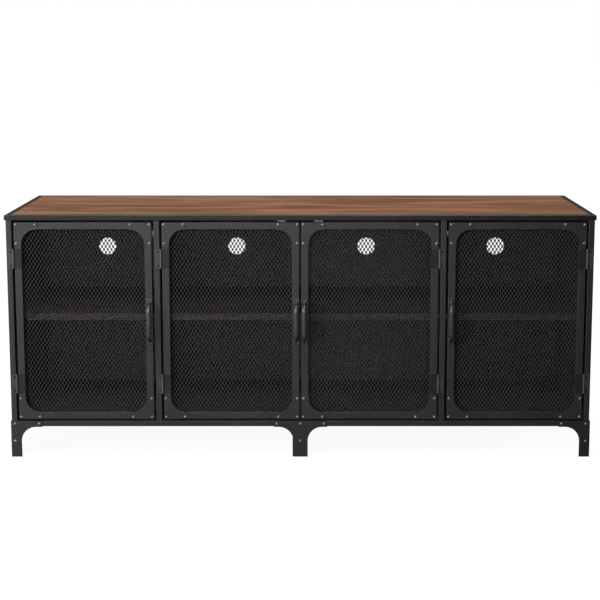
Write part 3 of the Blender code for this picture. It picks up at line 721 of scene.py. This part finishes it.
def catches():
    """A plastic housing with two steel pole plates that stand proud of its front."""
    for number in range(1, 5):
        node = f"magnetic_catch_{number}"
        low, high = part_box(node)
        bm = bmesh.new()
        add_box(bm, low + Vector((0, POLES_PROUD, 0)), high)
        piece(node + "_housing", bm, "cabinet", [CATCH_PLASTIC], [node], CATCH_EDGE, 3)
        bm = bmesh.new()
        for x in (low.x + POLE_FROM_SIDE, high.x - POLE_FROM_SIDE - POLE_T):
            far = (x + POLE_T, low.y + POLE_DEPTH, high.z - POLE_INSET)
            add_box(bm, (x, low.y, low.z + POLE_INSET), far)
        piece(node + "_poles", bm, "cabinet", [CATCH_STEEL], (), POLE_EDGE, 1)


# ---- doors ----
def gusset_outline():
    """An L with a round inner corner, measured from the door's own corner."""
    reach = STILE + SKIN + GUSSET_ARC
    inner = STILE + SKIN
    bend = arc_points((reach, reach), GUSSET_ARC, 1.5 * pi, pi)
    one_leg = [(SKIN, SKIN), (GUSSET_LEG, SKIN), (GUSSET_LEG, inner)]
    return [*one_leg, *bend, (inner, GUSSET_LEG), (SKIN, GUSSET_LEG)]


def expanded_metal():
    """One sheet for a door, centred on the origin: louvred bonds joined by sloping strands. Its cut edges
    lie where the stiles hide them."""
    wide = DOOR_W - 2 * STILE + 2 * MESH_INTO_STILE
    tall = DOOR_H - 2 * STILE + 2 * MESH_INTO_STILE
    pitch = wide / MESH_COLUMNS
    rise = tall / MESH_HALF_ROWS
    verts = []
    faces = []

    def section(x, z, lean):
        """Front and back points at x, z. lean is how far the point stands forward."""
        verts.append((x, -lean - MESH_T / 2, z))
        verts.append((x, -lean + MESH_T / 2, z))
        return len(verts) - 2

    bonds = {}
    for j in range(MESH_HALF_ROWS + 1):
        for i in range(MESH_COLUMNS + 1 - j % 2):
            x = -wide / 2 + (i + 0.5 * (j % 2)) * pitch
            z = -tall / 2 + j * rise
            grid = {}
            for u in (-1, 0, 1):
                for v in (-1, 1):
                    grid[u, v] = section(x + u * BOND_W, z + v * BOND_H, u * BOND_W * STRAND_SLOPE)
            bonds[j, 2 * i + j % 2] = grid
            for u in (-1, 0):
                a, b, c, d = grid[u, -1], grid[u + 1, -1], grid[u + 1, 1], grid[u, 1]
                faces.append((a, b, c, d))
                faces.append((d + 1, c + 1, b + 1, a + 1))
            for u, turn in ((-1, 1), (1, -1)):
                a, b = grid[u, -1], grid[u, 1]
                faces.append((a, b, b + 1, a + 1)[::turn])
    for (j, i), grid in bonds.items():
        for step in (-1, 1):
            other = bonds.get((j + 1, i + step))
            if other is None:
                continue
            start = (grid[0, 1], grid[1, 1]) if step > 0 else (grid[-1, 1], grid[0, 1])
            end = (other[-1, -1], other[0, -1]) if step > 0 else (other[0, -1], other[1, -1])
            middle = []
            for side, (a, b) in enumerate(zip(start, end)):
                point = (Vector(verts[a]) + Vector(verts[b])) / 2
                thin = STRAND_THIN * (1 if side == 0 else -1)
                middle.append(section(point.x + thin, point.z, -(point.y + MESH_T / 2)))
            for (a, b), (d, c) in ((start, middle), (middle, end)):
                faces.append((a, b, c, d))
                faces.append((d + 1, c + 1, b + 1, a + 1))
                faces.append((a, d, d + 1, a + 1))
                faces.append((c, b, b + 1, c + 1))
    mesh = bpy.data.meshes.new("expanded_metal")
    mesh.from_pydata(verts, [], faces)
    return mesh


def add_bow(bm, x, middle, half, rise):
    """The handle's bow: narrow necks and a wide, flattened, rounded grip."""
    upper = [(z * half, out * rise, wide * GRIP_W, deep * GRIP_T) for z, out, wide, deep in HANDLE_BOW]
    path = smooth_line([*upper, *((-z, *others) for z, *others in reversed(upper))], BOW_CUTS)
    rings = []
    for k, (z, out, wide, deep) in enumerate(path):
        before = path[max(k - 1, 0)]
        after = path[min(k + 1, len(path) - 1)]
        along = Vector((0, before[1] - after[1], after[0] - before[0])).normalized()
        across = Vector((1, 0, 0))
        outward = along.cross(across)
        centre = Vector((x, BACK - out, middle + z))
        ring = []
        for side in range(BOW_SIDES):
            c, d = cos(2 * pi * side / BOW_SIDES), sin(2 * pi * side / BOW_SIDES)
            bulge = (abs(c) ** BOW_SQUARE + abs(d) ** BOW_SQUARE) ** (-1 / BOW_SQUARE)
            ring.append(bm.verts.new(centre + across * (wide * c * bulge) + outward * (deep * d * bulge)))
        rings.append(ring)
    for lower, upper in zip(rings, rings[1:]):
        for side in range(BOW_SIDES):
            after = (side + 1) % BOW_SIDES
            bm.faces.new((lower[side], lower[after], upper[after], upper[side]))
    for ring in (rings[0], rings[-1]):
        bm.faces.new(ring)
    bmesh.ops.recalc_face_normals(bm, faces=bm.faces)


def smooth_line(points, cuts):
    """Catmull-Rom through the points."""
    ends = [points[0], *points, points[-1]]
    line = []
    for four in zip(ends, ends[1:], ends[2:], ends[3:]):
        for k in range(cuts):
            t = k / cuts
            point = []
            for p, q, r, s in zip(*four):
                square = (2 * p - 5 * q + 4 * r - s) * t * t
                cube = (3 * q - p - 3 * r + s) * t**3
                point.append(0.5 * (2 * q + (r - p) * t + square + cube))
            line.append(tuple(point))
    return [*line, points[-1]]


def handle(door):
    """A bow on two spade-shaped feet, each with a screw."""
    low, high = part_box(f"{door}_handle")
    x = (low.x + high.x) / 2
    middle = (low.z + high.z) / 2
    half = (high.z - low.z) / 2
    bm = bmesh.new()
    add_bow(bm, x, middle, half, BACK - low.y - GRIP_T - SKIN)
    piece(f"{door}_handle_bow", bm, door, [HANDLE_ENAMEL], [f"{door}_handle"])
    bm = bmesh.new()
    wide = (high.x - low.x) / 2
    shoulder = half - HANDLE_FOOT_H / 2
    edge = [(wide, half), (wide, shoulder), (HANDLE_FOOT_TIP, half - HANDLE_FOOT_H)]
    for sign in (-1, 1):
        spade = [*edge, *((-u, v) for u, v in reversed(edge))]
        add_prism(bm, [(x + u, BACK, middle + sign * v) for u, v in spade], (0, -HANDLE_FOOT_T, 0))
    piece(f"{door}_handle_feet", bm, door, [HANDLE_ENAMEL], (), HANDLE_FOOT_EDGE, 3)
    bm = bmesh.new()
    for sign in (-1, 1):
        point = (x, BACK - HANDLE_FOOT_T, middle + sign * (half - HANDLE_SCREW_IN))
        add_screw(bm, point, (0, -1, 0), *HANDLE_SCREW)
    # The black cross on each steel head is painted shade for the head's recess.
    piece(f"{door}_handle_screws", bm, door, [SCREW_STEEL, BLACK_BOARD])


def door_frame(door, left, right, bottom, top_z):
    """The mitred tubes, with a gusset and three rivets at each corner."""
    coats = [DOOR_COAT, EDGE_COAT]
    bm = bmesh.new()
    add_ring(bm, (left, bottom), (right, top_z), STILE, (FACE, FACE + DOOR_T), lambda u, v, d: (u, d, v))
    piece(f"{door}_tubes", bm, door, coats, [f"{door}_frame"], TUBE_EDGE, by_weight=True)
    plates = bmesh.new()
    rivets = bmesh.new()
    for z, z_sign in ((bottom, 1), (top_z, -1)):
        for x, x_sign in ((left, 1), (right, -1)):
            outline = [(x + x_sign * u, FACE - GUSSET_T, z + z_sign * v) for u, v in gusset_outline()]
            add_prism(plates, outline, (0, GUSSET_T + GUSSET_SINK, 0))
            for u, v in ((RIVET_EDGE, RIVET_EDGE), (RIVET_ALONG, RIVET_EDGE), (RIVET_EDGE, RIVET_ALONG)):
                add_rivet(rivets, (x + x_sign * u, FACE - GUSSET_T, z + z_sign * v), (0, -1, 0))
    piece(f"{door}_gussets", plates, door, coats, (), GUSSET_EDGE, 2)
    piece(f"{door}_rivets", rivets, door, [RIVET_ENAMEL])


def rounded_rectangle(x0, z0, x1, z1, radius):
    """Corners rounded on all four sides."""
    points = []
    left, right = x0 + radius, x1 - radius
    low, high = z0 + radius, z1 - radius
    for k, centre in enumerate(((right, low), (right, high), (left, high), (left, low))):
        points += arc_points(centre, radius, (k - 1) * pi / 2, k * pi / 2, 5)
    return points


def leaf(name, node, body, coat, axis_x, side, low, high, knuckles, reach):
    """A hinge leaf on one side of the axis, with the knuckles that are rolled from it."""
    bm = bmesh.new()
    near = axis_x + side * (KNUCKLE_R + FIT)
    far = axis_x + side * reach
    x0, x1 = sorted((near, far))
    outline = [(x, BACK, z) for x, z in rounded_rectangle(x0, low, x1, high, LEAF_CORNER)]
    add_prism(bm, outline, (0, -LEAF_T, 0))
    for z0, z1 in knuckles:
        x0, x1 = sorted((axis_x, near + side * NECK_LAP))
        add_box(bm, (x0, BACK - LEAF_T, z0), (x1, BACK, z1))
    piece(name, bm, body, [coat, EDGE_COAT], [node], LEAF_EDGE, 2)
    bm = bmesh.new()
    rim = KNUCKLE_R - KNUCKLE_EASE
    for z0, z1 in knuckles:
        length = z1 - z0
        profile = [(rim, 0), (KNUCKLE_R, KNUCKLE_EASE), (KNUCKLE_R, length - KNUCKLE_EASE), (rim, length)]
        add_turned(bm, (axis_x, HINGE_Y, z0), (0, 0, 1), profile, KNUCKLE_SIDES)
    piece(name + "_knuckles", bm, body, [BARREL_ENAMEL])


def hinge(number, place, side):
    """Two leaves, their pin and the post leaf's screws. side is +1 for a door hinged on its left."""
    node = f"hinge_{number}_{place}"
    low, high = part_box(f"{node}_post_leaf")
    axis_x = low.x + POST_LEAF_REACH if side > 0 else high.x - POST_LEAF_REACH
    z0 = low.z + PIN_END
    z1 = high.z - PIN_END
    third = (z1 - z0) / 3
    outer = ((z0, z0 + third - KNUCKLE_GAP), (z1 - third + KNUCKLE_GAP, z1))
    inner = ((z0 + third + KNUCKLE_GAP, z1 - third - KNUCKLE_GAP),)
    post = (f"{node}_post_plate", f"{node}_post_leaf", "cabinet", POST_LEAF_ENAMEL)
    leaf(*post, axis_x, -side, z0, z1, outer, POST_LEAF_REACH)
    door = (f"{node}_door_plate", f"{node}_door_leaf", f"door_{number}", DOOR_LEAF_ENAMEL)
    leaf(*door, axis_x, side, z0, z1, inner, DOOR_LEAF_REACH)
    bm = bmesh.new()
    length = high.z - low.z
    tip = PIN_R * PIN_TIP
    profile = [(tip, 0), (PIN_R, PIN_CHAMFER), (PIN_R, length - PIN_CHAMFER), (tip, length)]
    add_turned(bm, (axis_x, HINGE_Y, low.z), (0, 0, 1), profile, PIN_SIDES)
    piece(f"{node}_pin", bm, "cabinet", [SCREW_STEEL])
    bm = bmesh.new()
    x = axis_x - side * HINGE_SCREW_X
    for sign in (-1, 1):
        point = (x, FACE - HINGE_SCREW_OUT, (z0 + z1) / 2 + sign * HINGE_SCREW_Z)
        add_screw(bm, point, (0, -1, 0), *HINGE_SCREW)
    piece(f"{node}_screws", bm, "cabinet", [SCREW_ENAMEL, SCREW_ENAMEL])


def doors():
    """Doors 1 and 2 hang on their left sides, 3 and 4 on their right."""
    sheet = expanded_metal()
    sheet.materials.append(MESH_COAT)
    for number, side in zip(range(1, 5), (1, 1, -1, -1)):
        door = f"door_{number}"
        low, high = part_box(f"{door}_frame")
        door_frame(door, low.x, high.x, low.z, high.z)
        panel = bpy.data.objects.new(f"{door}_expanded_metal", sheet)
        bpy.context.scene.collection.objects.link(panel)
        panel.location = ((low.x + high.x) / 2, FACE + MESH_DEPTH, (low.z + high.z) / 2)
        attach(panel, door)
        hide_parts(f"{door}_mesh")
        handle(door)
        for place in ("upper", "lower"):
            hinge(number, place, side)


# ---- stage ----
def pale_floor():
    """A floor that glows white away from the object. Near the middle its glow is dimmed, a painted shade
    round the object, besides the faint real shadow that its diffuse part takes.
    """
    bm = bmesh.new()
    bmesh.ops.create_grid(bm, x_segments=2, y_segments=2, size=FLOOR_HALF)
    mesh = bpy.data.meshes.new("floor")
    bm.to_mesh(mesh)
    bm.free()
    floor = bpy.data.objects.new("floor", mesh)
    bpy.context.scene.collection.objects.link(floor)
    tone = (FLOOR_TONE, FLOOR_TONE, FLOOR_TONE, 1)
    look = Look("pale_floor", Base_Color=tone, Roughness=0.9, Specular_IOR_Level=0.0)
    look.shader.inputs["Emission Color"].default_value = (1, 1, 1, 1)
    away = look.node("VectorMath", Vector=look.coords())
    away.operation = "LENGTH"
    # The glow is dimmer near the middle: painted shade.
    look.set("Emission Strength", look.span(away.outputs["Value"], *FLOOR_POOL, *FLOOR_GLOW))
    mesh.materials.append(look.material)
    floor.visible_diffuse = False
    floor.visible_glossy = False


def sky():
    """White where the camera sees it. On the object it is dim, brighter from two directions."""
    world = bpy.data.worlds.new("studio")
    world.use_nodes = True
    nodes = world.node_tree.nodes
    links = world.node_tree.links
    outward = nodes.new("ShaderNodeTexCoord").outputs["Generated"]

    def glow(direction, limits):
        toward = nodes.new("ShaderNodeVectorMath")
        toward.operation = "DOT_PRODUCT"
        links.new(outward, toward.inputs[0])
        toward.inputs[1].default_value = Vector(direction).normalized()
        strength = nodes.new("ShaderNodeMapRange")
        strength.interpolation_type = "SMOOTHSTEP"
        links.new(toward.outputs["Value"], strength.inputs["Value"])
        for socket, value in zip(("From Min", "From Max", "To Min", "To Max"), limits):
            strength.inputs[socket].default_value = value
        return strength.outputs[0]

    total = nodes.new("ShaderNodeMath")
    total.operation = "ADD"
    links.new(glow(BRIGHT_SIDE, SKY), total.inputs[0])
    links.new(glow(BACK_SIDE, BACK_GLOW), total.inputs[1])
    mix = nodes.new("ShaderNodeMix")
    mix.data_type = "FLOAT"
    links.new(nodes.new("ShaderNodeLightPath").outputs["Is Camera Ray"], mix.inputs[0])
    links.new(total.outputs[0], mix.inputs[2])
    mix.inputs[3].default_value = 1.0
    background = nodes["Background"]
    links.new(mix.outputs[0], background.inputs["Strength"])
    background.inputs["Color"].default_value = (1, 1, 1, 1)
    bpy.context.scene.world = world


def lamps():
    """Soft rectangular lamps, each turned to its target."""
    for name, place, target, size, spread, power in LIGHTS:
        data = bpy.data.lights.new(name, "AREA")
        data.shape = "RECTANGLE"
        data.size, data.size_y = size
        data.energy = power
        data.spread = radians(spread)
        lamp = bpy.data.objects.new(name, data)
        bpy.context.scene.collection.objects.link(lamp)
        lamp.location = place
        lamp.rotation_euler = (Vector(target) - Vector(place)).to_track_quat("-Z", "Y").to_euler()


def camera():
    """Nearly level and in front, shifted so that the stand sits where it should in the frame."""
    data = bpy.data.cameras.new("camera")
    data.lens = CAMERA_LENS
    data.sensor_width = CAMERA_SENSOR
    data.shift_x, data.shift_y = CAMERA_SHIFT
    data.clip_end = CAMERA_REACH
    obj = bpy.data.objects.new("camera", data)
    bpy.context.scene.collection.objects.link(obj)
    obj.location = CAMERA_PLACE
    obj.rotation_euler = (radians(90 - CAMERA_TILT), 0, 0)
    bpy.context.scene.camera = obj
    bpy.context.scene.view_settings.view_transform = "Standard"


top()
bars()
corner_feet()
centre_feet()
boards()
back_board()
catches()
doors()
pale_floor()
sky()
lamps()
camera()
